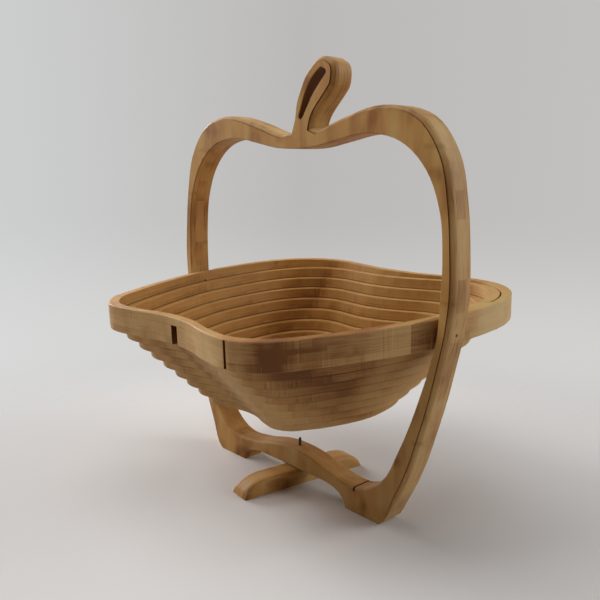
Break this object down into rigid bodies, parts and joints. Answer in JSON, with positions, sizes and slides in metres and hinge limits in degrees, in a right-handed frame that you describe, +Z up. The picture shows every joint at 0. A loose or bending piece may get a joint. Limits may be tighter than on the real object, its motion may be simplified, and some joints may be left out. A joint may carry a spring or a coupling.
{
  "type": "folding fruit basket",
  "caption": "Bamboo frame shaped like an apple, holding a spiral-cut basket that drops open or folds flat into it, with a swivelling cross foot.",
  "frame": {"origin": "centre of the bounding box at floor level, under the middle of the frame's feet", "axes": "+Z up, +X along the frame towards the side the stem leans to, -Y towards the front, where the rim has its notch"},
  "size_m": [0.2892, 0.2468, 0.3209],
  "materials": {
    "frame_bamboo": "laminated bamboo, satin lacquer",
    "rim_bamboo": "laminated bamboo, satin lacquer",
    "strip_bamboo": "sawn and lacquered bamboo, satin",
    "floor_bamboo": "laminated bamboo, satin lacquer",
    "foot_bamboo": "laminated bamboo, satin lacquer",
    "screw_steel": "dull steel"
  },
  "bodies": {
    "frame_body": {"frame": "frame_bamboo", "pivot_pin_left": "screw_steel", "pivot_pin_right": "screw_steel", "foot_screw": "screw_steel"},
    "foot_body": {"cross_foot": "foot_bamboo"},
    "rim_body": {"rim": "rim_bamboo"},
    "turn_1_body": {"turn_1": "strip_bamboo"},
    "turn_2_body": {"turn_2": "strip_bamboo"},
    "turn_3_body": {"turn_3": "strip_bamboo"},
    "turn_4_body": {"turn_4": "strip_bamboo"},
    "turn_5_body": {"turn_5": "strip_bamboo"},
    "turn_6_body": {"turn_6": "strip_bamboo"},
    "turn_7_body": {"turn_7": "strip_bamboo"},
    "ramp_1_body": {"ramp_1": "strip_bamboo"},
    "ramp_2_body": {"ramp_2": "strip_bamboo"},
    "ramp_3_body": {"ramp_3": "strip_bamboo"},
    "ramp_4_body": {"ramp_4": "strip_bamboo"},
    "ramp_5_body": {"ramp_5": "strip_bamboo"},
    "ramp_6_body": {"ramp_6": "strip_bamboo"},
    "ramp_7_body": {"ramp_7": "strip_bamboo"},
    "ramp_8_body": {"ramp_8": "strip_bamboo"},
    "floor_body": {"basket_floor": "floor_bamboo"}
  },
  "joints": [
    {"name": "basket_swing", "type": "hinge", "parent": "frame_body", "child": "rim_body", "pos_m": [0, 0.0004, 0.1438], "axis": [1, 0, 0], "range_deg": [0, 87.2]},
    {"name": "foot_swivel", "type": "hinge", "parent": "frame_body", "child": "foot_body", "pos_m": [0, 0.0004, 0.006], "axis": [0, 0, 1], "range_deg": [-83, 97]},
    {"name": "bowl_fold", "type": "slide", "parent": "rim_body", "child": "floor_body", "axis": [0, -0.0489, 0.9988], "range_m": [0, 0.0648]},
    {"name": "turn_1_slide", "type": "slide", "parent": "rim_body", "child": "turn_1_body", "axis": [0, -0.0489, 0.9988], "range_m": [0, 0.0081]},
    {"name": "turn_2_slide", "type": "slide", "parent": "rim_body", "child": "turn_2_body", "axis": [0, -0.0489, 0.9988], "range_m": [0, 0.0162]},
    {"name": "turn_3_slide", "type": "slide", "parent": "rim_body", "child": "turn_3_body", "axis": [0, -0.0489, 0.9988], "range_m": [0, 0.0243]},
    {"name": "turn_4_slide", "type": "slide", "parent": "rim_body", "child": "turn_4_body", "axis": [0, -0.0489, 0.9988], "range_m": [0, 0.0324]},
    {"name": "turn_5_slide", "type": "slide", "parent": "rim_body", "child": "turn_5_body", "axis": [0, -0.0489, 0.9988], "range_m": [0, 0.0405]},
    {"name": "turn_6_slide", "type": "slide", "parent": "rim_body", "child": "turn_6_body", "axis": [0, -0.0489, 0.9988], "range_m": [0, 0.0486]},
    {"name": "turn_7_slide", "type": "slide", "parent": "rim_body", "child": "turn_7_body", "axis": [0, -0.0489, 0.9988], "range_m": [0, 0.0567]},
    {"name": "ramp_1_hinge", "type": "hinge", "parent": "rim_body", "child": "ramp_1_body", "pos_m": [0.12346, 0.00044, 0.14378], "axis": [0, 0.9988, 0.0489], "range_deg": [0, 1.9]},
    {"name": "ramp_2_hinge", "type": "hinge", "parent": "turn_1_body", "child": "ramp_2_body", "pos_m": [0.11613, 0.00084, 0.13569], "axis": [0, 0.9988, 0.0489], "range_deg": [0, 2.02]},
    {"name": "ramp_3_hinge", "type": "hinge", "parent": "turn_2_body", "child": "ramp_3_body", "pos_m": [0.10879, 0.00124, 0.1276], "axis": [0, 0.9988, 0.0489], "range_deg": [0, 2.15]},
    {"name": "ramp_4_hinge", "type": "hinge", "parent": "turn_3_body", "child": "ramp_4_body", "pos_m": [0.10146, 0.00163, 0.11951], "axis": [0, 0.9988, 0.0489], "range_deg": [0, 2.3]},
    {"name": "ramp_5_hinge", "type": "hinge", "parent": "turn_4_body", "child": "ramp_5_body", "pos_m": [0.09413, 0.00203, 0.11142], "axis": [0, 0.9988, 0.0489], "range_deg": [0, 2.48]},
    {"name": "ramp_6_hinge", "type": "hinge", "parent": "turn_5_body", "child": "ramp_6_body", "pos_m": [0.08679, 0.00242, 0.10333], "axis": [0, 0.9988, 0.0489], "range_deg": [0, 2.69]},
    {"name": "ramp_7_hinge", "type": "hinge", "parent": "turn_6_body", "child": "ramp_7_body", "pos_m": [0.07946, 0.00282, 0.09524], "axis": [0, 0.9988, 0.0489], "range_deg": [0, 2.93]},
    {"name": "ramp_8_hinge", "type": "hinge", "parent": "turn_7_body", "child": "ramp_8_body", "pos_m": [0.07213, 0.00321, 0.08715], "axis": [0, 0.9988, 0.0489], "range_deg": [0, 3.23]}
  ],
  "couplings": [
    {"joint": "turn_1_slide", "follows": "bowl_fold", "ratio": 0.125},
    {"joint": "turn_2_slide", "follows": "bowl_fold", "ratio": 0.25},
    {"joint": "turn_3_slide", "follows": "bowl_fold", "ratio": 0.375},
    {"joint": "turn_4_slide", "follows": "bowl_fold", "ratio": 0.5},
    {"joint": "turn_5_slide", "follows": "bowl_fold", "ratio": 0.625},
    {"joint": "turn_6_slide", "follows": "bowl_fold", "ratio": 0.75},
    {"joint": "turn_7_slide", "follows": "bowl_fold", "ratio": 0.875},
    {"joint": "ramp_1_hinge", "follows": "bowl_fold", "rad_per_m": 0.5108},
    {"joint": "ramp_2_hinge", "follows": "bowl_fold", "rad_per_m": 0.5428},
    {"joint": "ramp_3_hinge", "follows": "bowl_fold", "rad_per_m": 0.57906},
    {"joint": "ramp_4_hinge", "follows": "bowl_fold", "rad_per_m": 0.62052},
    {"joint": "ramp_5_hinge", "follows": "bowl_fold", "rad_per_m": 0.66837},
    {"joint": "ramp_6_hinge", "follows": "bowl_fold", "rad_per_m": 0.72421},
    {"joint": "ramp_7_hinge", "follows": "bowl_fold", "rad_per_m": 0.79022},
    {"joint": "ramp_8_hinge", "follows": "bowl_fold", "rad_per_m": 0.86945}
  ]
}
